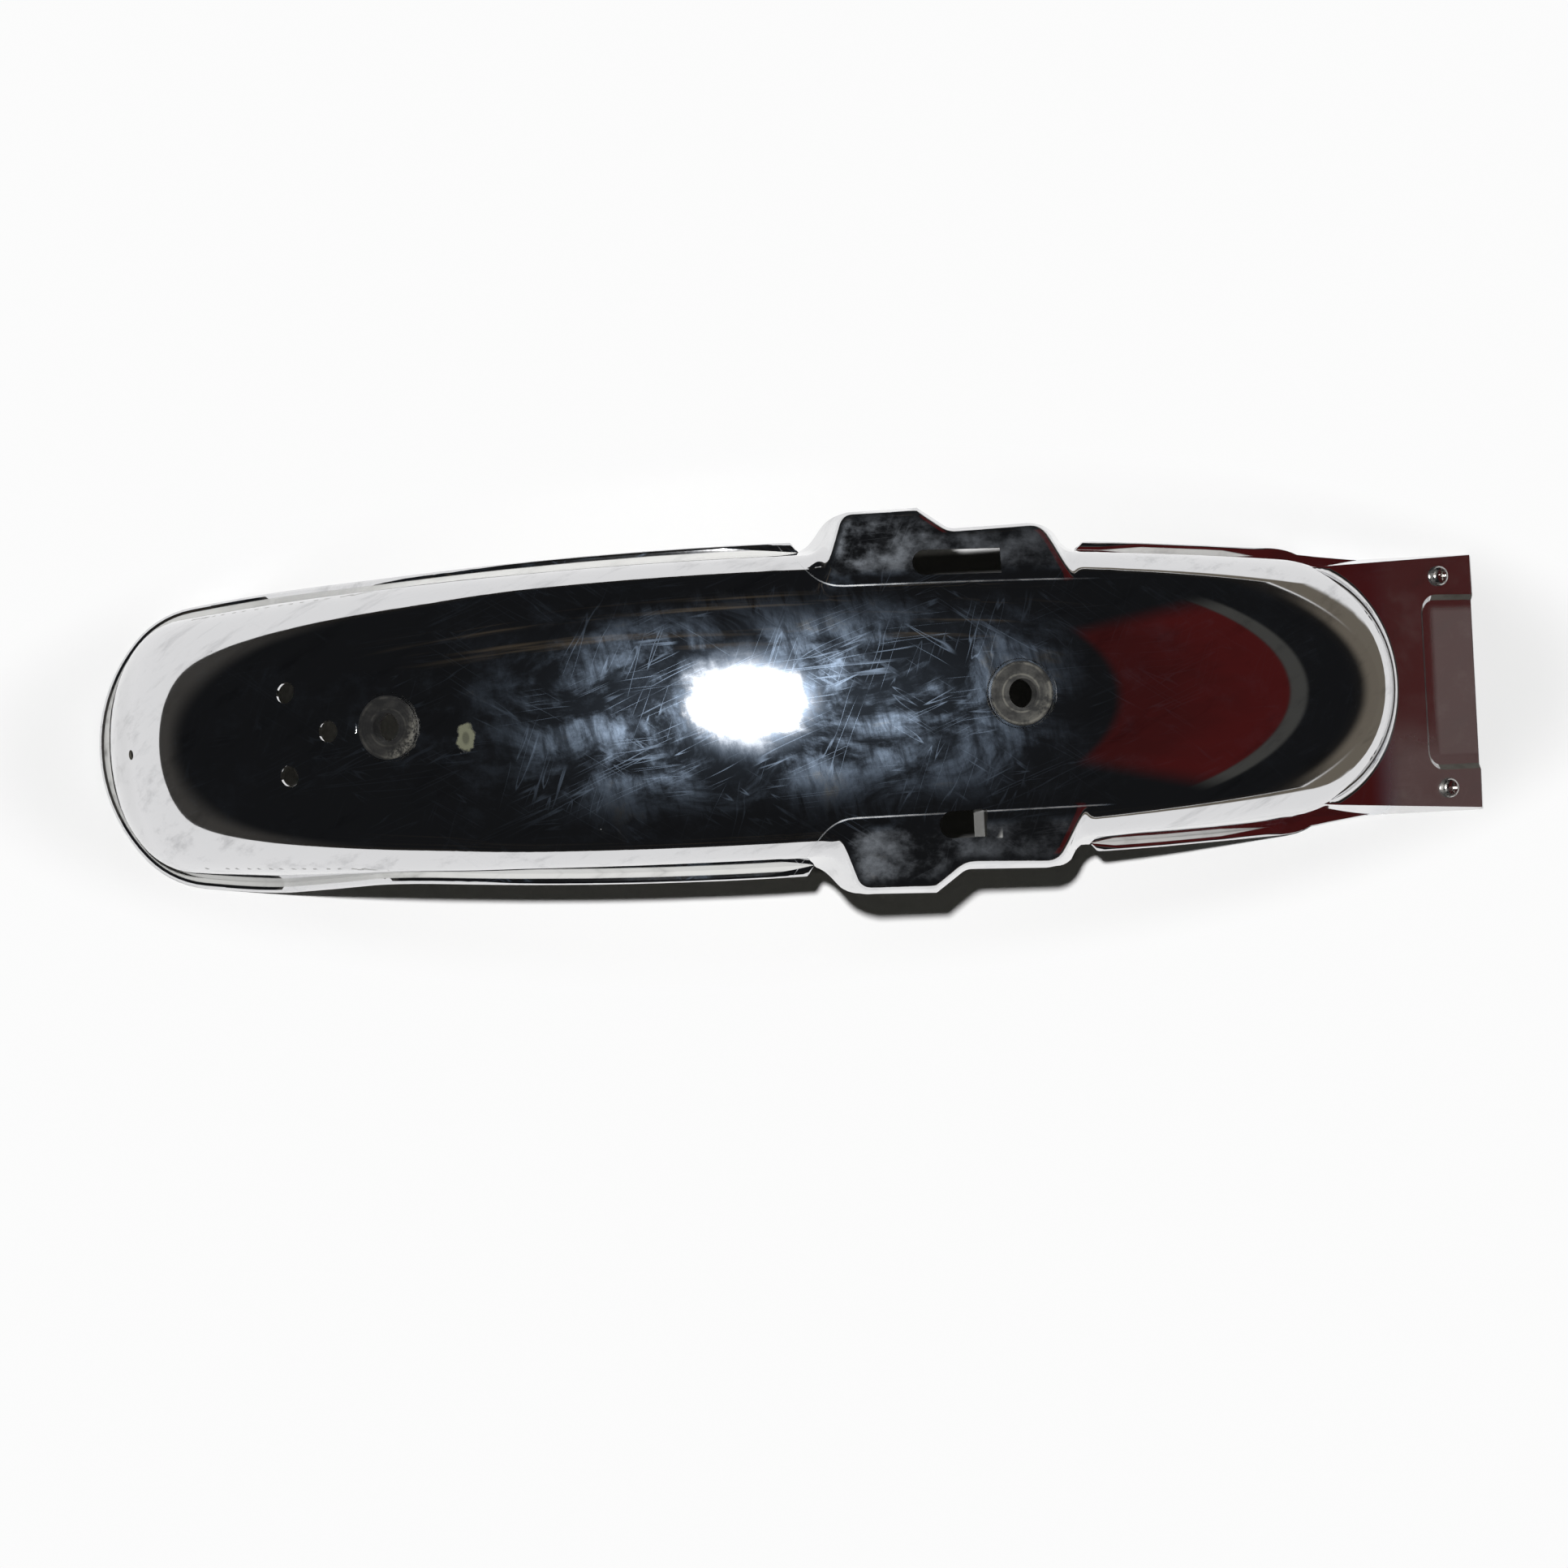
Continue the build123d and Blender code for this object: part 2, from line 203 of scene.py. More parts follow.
def makeRoom():
    world = bpy.data.worlds.new("room")
    scene.world = world
    kit = Kit(world)
    spot = kit.node("ShaderNodeTexCoord")
    x, y, z = kit.parts(spot)
    # dim light low on the walls: grayish past the nose, warm past the plate, faint at the sides
    dim = kit.blendColor(1 - kit.spread(z, *roomSet["sideFade"]), roomSet["dark"], roomSet["sideGlow"])
    toNose = kit.spread(0 - x, *roomSet["noseWay"])
    dim = kit.blendColor(toNose * (1 - kit.spread(z, *roomSet["noseFade"])), dim, roomSet["noseGlow"])
    toPlate = kit.spread(x, *roomSet["plateWay"])
    dim = kit.blendColor(toPlate * (1 - kit.spread(z, *roomSet["plateFade"])), dim, roomSet["plateGlow"])
    # a dull red wall high up beyond the plate, with a gray strip under it
    start, end = roomSet["redRise"]
    foot = roomSet["redFoot"]
    topStart, topEnd = roomSet["redTop"]
    wide = 1 - kit.spread(y.size() / x.bigger(0.01), *roomSet["redWide"])
    wide = wide * kit.spread(x, *roomSet["redAhead"])
    grain = kit.node("ShaderNodeVectorMath", {"operation": "SCALE"}, {0: spot, "Scale": roomSet["redGrain"]})
    cloth = kit.noise(grain, 4.0)
    rise = kit.spread(z, start, roomSet["redFull"]) + (cloth - 0.5) * roomSet["redMottle"]
    red = kit.blendColor(kit.spread(rise, 0.0, 1.0), roomSet["redNear"], roomSet["redFar"])
    aboveFoot = kit.spread(z, start - foot, start + foot)
    upper = z / x.bigger(0.05) ** roomSet["redBow"]
    wall = wide * aboveFoot * (1 - kit.spread(upper, end - topStart, end + topEnd))
    dim = kit.blendColor(wall, dim, red)
    low, stripFoot = roomSet["stripLow"], roomSet["stripFoot"]
    strip = wide * kit.spread(z, low - stripFoot, low + stripFoot) * (1 - aboveFoot)
    dim = kit.blendColor(strip, dim, roomSet["strip"])
    # warm streaks that run along the fender
    slant = y / z.bigger(0.05)
    stepX, stepY = roomSet["streakSize"]
    along = kit.node("ShaderNodeCombineXYZ", None, {0: x * stepX, 1: slant * stepY, 2: roomSet["streakCut"]})
    streak = kit.spread(kit.noise(along, 4.0), *roomSet["streakShow"])
    streak = streak * (1 - kit.spread(x.size(), *roomSet["streakReach"]))
    nearIn, nearOut = roomSet["nearBand"]
    farIn, farOut = roomSet["farBand"]
    band = kit.spread(slant, *nearIn) * (1 - kit.spread(slant, *nearOut))
    band = band.bigger(kit.spread(0 - slant, *farIn) * (1 - kit.spread(0 - slant, *farOut)))
    dim = kit.blendColor(streak * band, dim, roomSet["streak"])
    # soft fill in the shadows, which only matt surfaces take up
    dim = kit.blendColor(kit.node("ShaderNodeLightPath", output=2), dim, roomSet["fill"])
    above = kit.node("ShaderNodeMath", {"operation": "GREATER_THAN"}, {0: z, 1: 0.0})
    table = roomSet["table"]
    below = kit.blendColor(toPlate, (table, table, table, 1), roomSet["plateGlow"])
    shown = kit.blendColor(above, below, dim)
    kit.finish(kit.node("ShaderNodeBackground", None, {"Color": shown}), "ShaderNodeOutputWorld")


def makeTable():
    form = bmesh.new()
    bmesh.ops.create_grid(form, x_segments=1, y_segments=1, size=tableSet["half"])
    mesh = bpy.data.meshes.new("table")
    form.to_mesh(mesh)
    form.free()
    table = bpy.data.objects.new("table", mesh)
    scene.collection.objects.link(table)
    coat = bpy.data.materials.new("tablePaper")
    kit = Kit(coat)
    distance = kit.node("ShaderNodeVectorMath", {"operation": "LENGTH"},
                        {0: kit.place((*tableSet["clear"], 1))}, output=1)
    away = kit.spread(distance, tableSet["near"], tableSet["far"])
    tableX, tableY = kit.parts(kit.place((1, 1, 1)))[:2]
    # painted shade: darker paper under the ears, seen through their slots
    underX, underY = tableSet["under"]
    under = 1 - kit.spread((tableX - underX).size(), *tableSet["underHalf"])
    under = under * (1 - kit.spread(tableY.size(), underY - tableSet["underSoft"], underY))
    shade, dim = tableSet["shade"], tableSet["dim"]
    paper = kit.node("ShaderNodeBsdfDiffuse", None,
                     {"Color": kit.blendColor(under, (shade, shade, shade, 1), (dim, dim, dim, 1))})
    seen = kit.node("ShaderNodeLightPath", output=0)
    mirrored = kit.node("ShaderNodeLightPath", output=3)
    through = kit.node("ShaderNodeLightPath", output=6)
    # the white table ends a little way beyond the plate, which only reflections reach
    past = kit.spread(tableX, *tableSet["edge"]) * (1 - seen)
    level = roomSet["table"]
    color = kit.blendColor(past, (level, level, level, 1), tableSet["beyond"])
    white = kit.node("ShaderNodeEmission", None, {"Color": color, "Strength": 1.0})
    look = seen.bigger(mirrored).bigger(through)
    kit.finish(kit.node("ShaderNodeMixShader", None, {0: look * away, 1: paper, 2: white}))
    mesh.materials.append(coat)


makeRoom()
makeTable()
print("lamp, room and table made")

# Chrome on the pressed sheet: bright plating with rubbed patches, scratches, smudges and a dab of dirt;
# places in millimetres, pattern sizes in metres; a pair is start and end of a blend
chromeSet = {"bright": (0.69, 0.69, 0.70, 1), "smudged": (0.45, 0.45, 0.46, 1), "rough": 0.025,
             "grainRough": 0.02, "dent": (0.07, 0.045, 0.045), "wave": 0.012,
             "cloud": (0.060, 0.036, 0.2), "stroke": (0.006, 0.028, 0.2), "strokeTurn": 14,
             "grain": (0.0022, 0.0016, 0.0016),
             "rubMiddle": (-20.0, 3.0), "rubHalf": (36.0, 28.0), "rubRagged": (1.5, 0.35),
             "rubEdge": (0.45, 1.12), "rubRough": 0.24, "rubHaze": 0.15, "rubRelief": 0.004,
             # haze tones: the blue one is painted light, standing in for the flash's colour
             "haze": (0.62, 0.78, 1.0, 1), "hazeWarm": (0.86, 0.80, 0.68, 1), "hazeGray": (0.80, 0.79, 0.77, 1),
             "warmCloud": (0.60, 0.75), "hazeRough": 0.52, "hazeMost": 0.8,
             "crown": (32.0, 60.0), "crownRagged": 40, "crownZ": (105, 135),
             "along": (-175.0, -50.0, 70.0, 165.0), "crownHaze": (0.010, 0.25, 0.17),
             "smearCloud": (0.44, 0.66), "smearStroke": (0.34, 0.66), "smearLeast": 0.25,
             "scratches": [((0.10, 0.0045), 21, 1.7, 0.022), ((0.07, 0.005), -34, 4.1, 0.020),
                           ((0.06, 0.006), 68, 7.3, 0.018), ((0.14, 0.005), 4, 9.9, 0.018)],
             "scuff": (0.03, 0.022, 0.022), "scuffShow": (0.50, 0.74), "scuffHaze": 0.022,
             "ledgeX": ((18, 30), (140, 155)), "ledgeY": (62, 68), "ledgeZ": (128, 140),
             "ledgePatch": (0.022, 0.017, 0.03), "ledgeShow": (0.40, 0.80), "ledgeHaze": 0.16, "ledgeGray": 0.6,
             "crease": (59.0, 36.0), "creaseX": (-12.0, 36.0, 160.0), "creaseZ": (104, 112),
             "creaseFade": (6, 8), "creaseRagged": 0.3, "creaseWide": (0.25, 0.75),
             "creaseCloud": (0.42, 0.62), "creaseHaze": (0.14, 0.6),
             "plateX": (322.0, 345.0), "plateZ": (48, 62), "recessX": (366.0, 371.0), "recessY": (40.0, 45.0),
             "cornerY": (-48, -8), "cornerRagged": 40, "plateHaze": (0.07, 0.34, 0.26, 0.06),
             "wipe": (0.06, 0.011, 0.02), "wipeTurn": 28, "wipeShow": (0.50, 0.82),
             "pits": (0.010, 0.14, 0.065), "pitCloud": (0.48, 0.6),
             # dust is also the colour of the painted reflections on the tab and the hem
             "dust": (0.60, 0.60, 0.585, 1), "dirt": (0.105, 0.108, 0.07, 1), "soilRough": 0.8,
             "dab": (-166.0, -8.0), "dabHalf": (5.0, 8.5), "dabGrain": (0.004, 0.004, 0.004),
             "dabRagged": 0.9, "dabEdge": (0.75, 1.0), "dabThin": (0.25, 0.5), "dabMiddle": 0.55,
             "dabTone": (0.0, 0.2), "specks": (0.009, 0.10, 0.035), "speckZ": (100, 135), "speckShare": 0.75,
             # the tab gets a painted reflection, a pale coat
             "tab": (97.0, 9.0, -65.0, 8.5, 153.0), "tabSoft": 1, "tabZ": (125, 130), "tabPaintedReflection": 0.3,
             # the hem's inner strip gets a painted reflection, a pale coat
             "paintedReflectionLip": (2.2, 2.9), "paintedReflectionStrength": 0.88, "paintedReflectionWiped": 0.3}


def ovalReach(x, y, middle, half):
    # 0 in the middle of an oval, 1 on its edge
    return (((x - middle[0]) / half[0]) ** 2 + ((y - middle[1]) / half[1]) ** 2) ** 0.5


def chromeSheet():
    look = chromeSet
    coat = bpy.data.materials.new("wornChrome")
    kit = Kit(coat)
    x, y, z = kit.parts(kit.place())
    side = y.size()
    cloud = kit.noise(kit.place(look["cloud"]), 8.0, 0.66, 0.5)
    stroke = kit.noise(kit.place(look["stroke"], look["strokeTurn"]), 5.0, 0.68, 0.3)
    grain = kit.noise(kit.place(look["grain"]), 3.0, 0.6)

    # rubbed bright patch on the crown, with a ragged edge
    byCloud, byStroke = look["rubRagged"]
    reach = ovalReach(x, y, look["rubMiddle"], look["rubHalf"])
    rub = 1 - kit.spread(reach + (cloud - 0.5) * byCloud + (stroke - 0.5) * byStroke, *look["rubEdge"])

    # hazy smears over the top of the crown, cut by fine scratches
    startX, fullX, fadeX, endX = look["along"]
    top = 1 - kit.spread(side + (stroke - 0.5) * look["crownRagged"], *look["crown"])
    top = top * kit.spread(z, *look["crownZ"])
    top = top * kit.spread(x, startX, fullX) * (1 - kit.spread(x, fadeX, endX))
    smear = look["smearLeast"] + kit.spread(stroke, *look["smearStroke"])
    smear = kit.spread(cloud, *look["smearCloud"]) * smear
    lines = kit.scratches(*look["scratches"][0])
    for marks in look["scratches"][1:]:
        lines = lines.bigger(kit.scratches(*marks))
    evenHaze, smearHaze, lineHaze = look["crownHaze"]
    haze = top * (evenHaze + smear * smearHaze + lines * lineHaze)
    # thin scuffing everywhere
    scuff = kit.spread(kit.noise(kit.place(look["scuff"]), 7.0, 0.68), *look["scuffShow"])
    haze = haze + scuff * look["scuffHaze"] + lines * look["scuffHaze"] + rub * look["rubHaze"]
    # dull patches on the ledges of the ears, and the worn crease along them
    ledgeStart, ledgeEnd = look["ledgeX"]
    ledge = kit.spread(side, *look["ledgeY"]) * kit.spread(z, *look["ledgeZ"])
    ledge = ledge * kit.spread(x, *ledgeStart) * (1 - kit.spread(x, *ledgeEnd))
    patch = kit.spread(kit.noise(kit.place(look["ledgePatch"]), 8.0, 0.66), *look["ledgeShow"])
    haze = haze + ledge * patch * look["ledgeHaze"]
    foot, flare = look["crease"]
    creaseStart, creaseFull, creaseEnd = look["creaseX"]
    fade, runOut = look["creaseFade"]
    bend = 1 - kit.spread(x, creaseStart, creaseFull)
    fromCrease = (side - (foot + bend * bend * flare)).size() + grain * look["creaseRagged"]
    crease = 1 - kit.spread(fromCrease, *look["creaseWide"])
    crease = crease * kit.spread(x, creaseStart, creaseStart + fade)
    crease = crease * (1 - kit.spread(x, creaseEnd - fade, creaseEnd + runOut))
    creaseLeast, creaseMore = look["creaseHaze"]
    worn = creaseLeast + kit.spread(cloud, *look["creaseCloud"]) * creaseMore
    haze = haze + crease * kit.spread(z, *look["creaseZ"]) * worn
    # the plate is duller, most of all in its recess and toward one corner
    plate = kit.spread(x, *look["plateX"]) * (1 - kit.spread(z, *look["plateZ"]))
    recess = kit.spread(x, *look["recessX"]) * (1 - kit.spread(side, *look["recessY"]))
    corner = 1 - kit.spread(y + (cloud - 0.5) * look["cornerRagged"], *look["cornerY"])
    plateHaze, recessHaze, cornerHaze, plateScuff = look["plateHaze"]
    dull = (recess * recessHaze).bigger(corner * cornerHaze)
    haze = haze + plate * (plateHaze + dull + scuff * plateScuff)
    haze = haze.smaller(look["hazeMost"])

    # smudges and fine dark pits in the plating
    wipe = kit.noise(kit.place(look["wipe"], look["wipeTurn"]), 6.0, 0.64)
    wipe = kit.spread(wipe, *look["wipeShow"])
    pits = kit.specks(*look["pits"]) * kit.spread(cloud, *look["pitCloud"])
    plating = kit.blendColor((wipe + pits).smaller(1.0), look["bright"], look["smudged"])
    height = kit.noise(kit.place(look["dent"]), 0.0) * look["wave"] + (grain * rub) * look["rubRelief"]
    normal = kit.node("ShaderNodeBump", None, {"Strength": 1.0, "Distance": 0.001, "Height": height})
    gloss = look["rough"] + rub * (look["rubRough"] - look["rough"]) + grain * look["grainRough"]
    mirror = kit.node("ShaderNodeBsdfPrincipled", None,
                      {"Base Color": plating, "Metallic": 1.0, "Roughness": gloss, "Normal": normal})

    # the dulled lobe's tone: blue as painted light for the flash's colour, warm in cloudy patches, gray on the
    # plate, ledges and crease
    tone = kit.blendColor(kit.spread(cloud, *look["warmCloud"]), look["haze"], look["hazeWarm"])
    gray = plate.bigger(ledge * look["ledgeGray"]).bigger(crease)
    tone = kit.blendColor(gray, tone, look["hazeGray"])
    dulled = kit.node("ShaderNodeBsdfPrincipled", None,
                      {"Base Color": tone, "Metallic": 1.0, "Roughness": look["hazeRough"], "Normal": normal})
    body = kit.node("ShaderNodeMixShader", None, {0: haze, 1: mirror, 2: dulled})

    # the dab of dirt near the front bush, and specks of dust
    ring = ovalReach(x, y, look["dab"], look["dabHalf"])
    ragged = kit.noise(kit.place(look["dabGrain"]), 3.0) - 0.5
    dab = 1 - kit.spread(ring + ragged * look["dabRagged"], *look["dabEdge"])
    dabMiddle = look["dabMiddle"]
    dab = dab * (dabMiddle + (1 - dabMiddle) * kit.spread(ring, *look["dabThin"]))
    dust = kit.specks(*look["specks"]) * kit.spread(z, *look["speckZ"])
    # painted reflection: a pale coat on the tab in the short slot, standing in for the white table it reflects
    tabX, tabHalfX, tabY, tabHalfY, tabTop = look["tab"]
    soft = look["tabSoft"]
    tab = 1 - kit.spread((x - tabX).size(), tabHalfX - soft, tabHalfX)
    tab = tab * (1 - kit.spread((y - tabY).size(), tabHalfY - soft, tabHalfY))
    tab = tab * (1 - kit.spread(z, tabTop - soft, tabTop)) * kit.spread(z, *look["tabZ"])
    paintedReflectionTab = tab * (look["tabPaintedReflection"] + scuff * look["tabPaintedReflection"])
    # painted reflection: a pale strip in the corner between the wall and the hem, on the inner part of the hem's
    # top, standing in for the white table reflected there
    hemWidth = kit.node("ShaderNodeAttribute", {"attribute_name": "hemWidth"}, output=2)
    paintedReflectionLip = (1 - kit.spread(hemWidth, *look["paintedReflectionLip"])) * (look["paintedReflectionStrength"] - wipe * look["paintedReflectionWiped"])
    # one matt coat carries the dirt dab and the dust specks, and the painted reflections on the tab and the hem
    dirtAndPaintedReflectionColor = kit.blendColor(kit.spread(dab, *look["dabTone"]), look["dust"], look["dirt"])
    dirtAndPaintedReflection = kit.node("ShaderNodeBsdfPrincipled", None,
                    {"Base Color": dirtAndPaintedReflectionColor, "Roughness": look["soilRough"]})
    dirtAndPaintedReflectionCover = dab.bigger(dust * look["speckShare"]).bigger(paintedReflectionTab).bigger(paintedReflectionLip)
    kit.finish(kit.node("ShaderNodeMixShader", None, {0: dirtAndPaintedReflectionCover, 1: body, 2: dirtAndPaintedReflection}))
    return coat


# The underside: thin dull plating under old road dirt
underSet = {"plating": (0.12, 0.115, 0.10, 1), "dirt": (0.055, 0.050, 0.040, 1), "metal": 0.3,
            "patch": (0.03, 0.02, 0.02), "patchShow": (0.35, 0.65), "grit": (0.002, 0.002, 0.002),
            "relief": 0.25, "rough": 0.62, "gritRough": 0.3}


def undersideGrime():
    coat = bpy.data.materials.new("undersideGrime")
    kit = Kit(coat)
    patch = kit.noise(kit.place(underSet["patch"]), 6.0, 0.62)
    grit = kit.noise(kit.place(underSet["grit"]), 4.0, 0.6)
    color = kit.blendColor(kit.spread(patch, *underSet["patchShow"]), underSet["plating"], underSet["dirt"])
    normal = kit.node("ShaderNodeBump", None,
                      {"Strength": 0.6, "Distance": 0.001, "Height": grit * underSet["relief"]})
    rough = underSet["rough"] + grit * underSet["gritRough"]
    kit.finish(kit.node("ShaderNodeBsdfPrincipled", None,
                        {"Base Color": color, "Metallic": underSet["metal"], "Roughness": rough,
                         "Normal": normal}))
    return coat


# The sheet itself: the CAD form merged, with normals fitted to each curved patch, so that reflections
# run without kinks; lengths in millimetres
sheetSet = {"merge": 1e-5, "sharp": 27.0, "fitReach": 3.0, "fitScale": 8, "fitDamp": 1e-4, "fitTurns": 2,
            "spine": (-290.0, 290.0, 30.0), "tab": ((88.0, 107.0), (-74.0, -56.0)), "tabFacing": 0.1,
            "rimFacing": 0.2, "rimGap": -0.4}
hemSet = {"noseMiddle": (-304.0, 0.0), "noseRadius": 90.0,
          "cornerMiddle": (-333.8, 26.7), "cornerRadius": 50.0,
          "sideMiddle": (-20.7, -2201.4), "sideRadius": 2300.0,
          "endMiddle": (266.0, 0.0), "endRadius": 80.0,
          "plateHalf": 74.0, "draft": 8.0, "wide": 5.5, "slack": 1, "inside": -0.8, "top": 112,
          "ear": (9.2, 159.8), "end": 331.2, "fade": 5.0, "narrow": 0.8, "facing": 0.35,
          "level": (262.0, 296.0), "wedge": 24.0, "runOut": (288.0, 331.0),
          "least": 0.3, "stay": 0.1, "elsewhere": 9.0}
softSet = {"nose": {"longest": 7.0, "reach": 13.0}, "ear": {"longest": 3.0, "reach": 3.0},
           "turns": 4, "alike": 0.3, "noseX": (130, 190),
           "earX": ((-14, -4), (170, 182)), "earY": (48, 56), "earZ": (96, 104),
           "level": 0.55, "levelX": ((10, 22), (136, 148)), "levelY": 70, "levelFacing": 0.2}


def fittedNormals(mesh):
    # each corner of the CAD triangles gets the normal of a curved patch through its neighbours
    # on the same face; corners count as one within a micrometre and a thousandth of a normal
    count = len(mesh.loops)
    place = np.empty(len(mesh.vertices) * 3)
    mesh.vertices.foreach_get("co", place)
    vertexOf = np.empty(count, int)
    mesh.loops.foreach_get("vertex_index", vertexOf)
    place = place.reshape(-1, 3)[vertexOf]
    given = np.empty(count * 3)
    mesh.corner_normals.foreach_get("vector", given)
    given = given.reshape(-1, 3)
    keys = np.round(np.hstack([place * 1e6, given * 1e3])).astype(np.int64)
    kept, which = np.unique(keys, axis=0, return_index=True, return_inverse=True)[1:]
    which = which.reshape(-1)
    spot, normal = place[kept], given[kept]
    corner = which.reshape(-1, 3)
    sides = np.vstack([corner[:, [0, 1]], corner[:, [1, 2]], corner[:, [2, 0]]])
    sides = np.unique(np.vstack([sides, sides[:, ::-1]]), axis=0)
    start = np.searchsorted(sides[:, 0], np.arange(len(spot) + 1))
    # steps of two along the triangles' sides
    reach = start[sides[:, 1] + 1] - start[sides[:, 1]]
    origin = np.repeat(sides[:, 0], reach)
    offset = np.arange(reach.sum()) - np.repeat(np.cumsum(reach) - reach, reach)
    target = sides[np.repeat(start[sides[:, 1]], reach) + offset, 1]
    pairs = np.unique(np.vstack([sides, np.column_stack([origin, target])]), axis=0)
    pairs = pairs[pairs[:, 0] != pairs[:, 1]]
    scale, damp = sheetSet["fitScale"], sheetSet["fitDamp"]
    for turn in range(sheetSet["fitTurns"]):
        aid = np.where(np.abs(normal[:, [0]]) < 0.8, [[1.0, 0.0, 0.0]], [[0.0, 1.0, 0.0]])
        first = np.cross(normal, aid)
        first /= np.linalg.norm(first, axis=1)[:, None]
        second = np.cross(normal, first)
        way = (spot[pairs[:, 1]] - spot[pairs[:, 0]]) * 1000
        u = (way * first[pairs[:, 0]]).sum(axis=1)
        v = (way * second[pairs[:, 0]]).sum(axis=1)
        w = (way * normal[pairs[:, 0]]).sum(axis=1)
        weight = 1 / ((way ** 2).sum(axis=1) + sheetSet["fitReach"] ** 2)
        terms = np.column_stack([u, v, u * u / scale, u * v / scale, v * v / scale])
        square = np.zeros((len(spot), 5, 5))
        right = np.zeros((len(spot), 5))
        np.add.at(square, pairs[:, 0], terms[:, :, None] * terms[:, None, :] * weight[:, None, None])
        np.add.at(right, pairs[:, 0], terms * (w * weight)[:, None])
        slope = np.linalg.solve(square + np.eye(5) * damp, right[:, :, None])[:, :, 0]
        normal = normal - slope[:, [0]] * first - slope[:, [1]] * second
        normal /= np.linalg.norm(normal, axis=1)[:, None]
    return normal[which]


def ramp(value, low, high):
    part = min(max((value - low) / (high - low), 0), 1)
    return part * part * (3 - 2 * part)


def wallGap(spot):
    # how far a point stands out of the drafted wall, and the way out in plan
    x, y, z = spot * 1000
    plan = Vector((x, abs(y)))
    fromCorner = plan - Vector(hemSet["cornerMiddle"])
    toSide = Vector(hemSet["cornerMiddle"]) - Vector(hemSet["sideMiddle"])
    toNose = Vector(hemSet["cornerMiddle"]) - Vector(hemSet["noseMiddle"])
    if x > hemSet["endMiddle"][0]:
        name = "end"
    elif toSide.cross(fromCorner) < 0:
        name = "side"
    elif fromCorner.cross(toNose) < 0:
        name = "nose"
    else:
        name = "corner"
    out = plan - Vector(hemSet[name + "Middle"])
    gap = out.length - hemSet[name + "Radius"]
    out.normalize()
    if abs(y) - hemSet["plateHalf"] < gap and x > hemSet["endMiddle"][0]:
        gap, out = abs(y) - hemSet["plateHalf"], Vector((0, 1))
    gap += z * math.tan(math.radians(hemSet["draft"]))
    return gap, Vector((out.x, math.copysign(out.y, y), 0))


def onHem(vert):
    x, z = vert.co.x * 1000, vert.co.z * 1000
    earStart, earEnd = hemSet["ear"]
    if z >= hemSet["top"] or not (x < earStart or earEnd < x < hemSet["end"]):
        return False
    return hemSet["inside"] < wallGap(vert.co)[0] < hemSet["wide"] + hemSet["slack"]


def shapeHem(form, layer, width):
    # the hem runs out at the ears and at the plate, where it lies in the plate's plane;
    # width tells the plating how far out on the hem's top it is
    for face in form.faces:
        for loop in face.loops:
            loop[width] = hemSet["elsewhere"]
    earStart, earEnd = hemSet["ear"]
    lean = math.radians(hemSet["wedge"])
    wedge = Vector((math.sin(lean), 0, math.cos(lean)))
    for vert in [vert for vert in form.verts if onHem(vert)]:
        gap, out = wallGap(vert.co)
        x = vert.co.x * 1000
        level = ramp(x, *hemSet["level"])
        for loop in vert.link_loops:
            up = Vector(loop[layer])
            if up.z > hemSet["facing"]:
                loop[layer] = up.lerp(wedge, level).normalized()
                loop[width] = gap + level * hemSet["elsewhere"]
        keep = ramp(min(abs(x - earStart), abs(x - earEnd)), 0, hemSet["fade"])
        if x > earEnd:
            keep *= (hemSet["narrow"] + (1 - hemSet["narrow"]) * level) * (1 - ramp(x, *hemSet["runOut"]))
        if gap > hemSet["least"]:
            vert.co -= out * (gap - hemSet["stay"]) * (1 - keep) / 1000


def onNose(spot):
    return ramp(-spot.x * 1000, *softSet["noseX"])


def onEar(spot):
    x, y, z = spot * 1000
    start, end = softSet["earX"]
    along = ramp(x, *start) * (1 - ramp(x, *end))
    return along * ramp(abs(y), *softSet["earY"]) * ramp(z, *softSet["earZ"])


def soften(form, layer, inside, look):
    # an area gets finer faces, and normals evened out over a set reach; sharp edges stay
    for turn in range(softSet["turns"]):
        longEdges = [edge for edge in form.edges if edge.calc_length() * 1000 > look["longest"]
                     and inside(edge.verts[0].co) and inside(edge.verts[1].co)]
        bmesh.ops.subdivide_edges(form, edges=longEdges, cuts=1)
        bmesh.ops.triangulate(form, faces=[face for face in form.faces if len(face.verts) > 3])
    limit = math.cos(math.radians(sheetSet["sharp"]))
    even = []
    for vert in form.verts:
        given = [Vector(loop[layer]).normalized() for loop in vert.link_loops]
        total = sum(given, Vector()).normalized()
        if given and min(total.dot(other) for other in given) > limit:
            even.append((vert, total, sum(face.calc_area() for face in vert.link_faces)))
    tree = kdtree.KDTree(len(even))
    for number, (vert, normal, share) in enumerate(even):
        tree.insert(vert.co, number)
    tree.balance()
    reach = look["reach"] / 1000
    for vert, normal, share in even:
        amount = inside(vert.co)
        if amount > 0:
            total = Vector()
            for spot, number, distance in tree.find_range(vert.co, 2 * reach):
                other = even[number]
                if other[1].dot(normal) > softSet["alike"]:
                    total += other[1] * other[2] * math.exp(-(distance / reach) ** 2)
            softer = normal.lerp(total.normalized(), amount).normalized()
            for loop in vert.link_loops:
                loop[layer] = softer


def levelEar(form, layer):
    # the outer edge of the ear with the long slot stays turned upward
    start, end = softSet["levelX"]
    for vert in form.verts:
        x, y = vert.co.x * 1000, vert.co.y * 1000
        amount = ramp(x, *start) * (1 - ramp(x, *end)) if y > softSet["levelY"] else 0
        if amount > 0:
            for loop in vert.link_loops:
                normal = Vector(loop[layer])
                if normal.z > softSet["levelFacing"] and normal.y > 0:
                    normal.y *= 1 - softSet["level"] * amount
                    loop[layer] = normal.normalized()


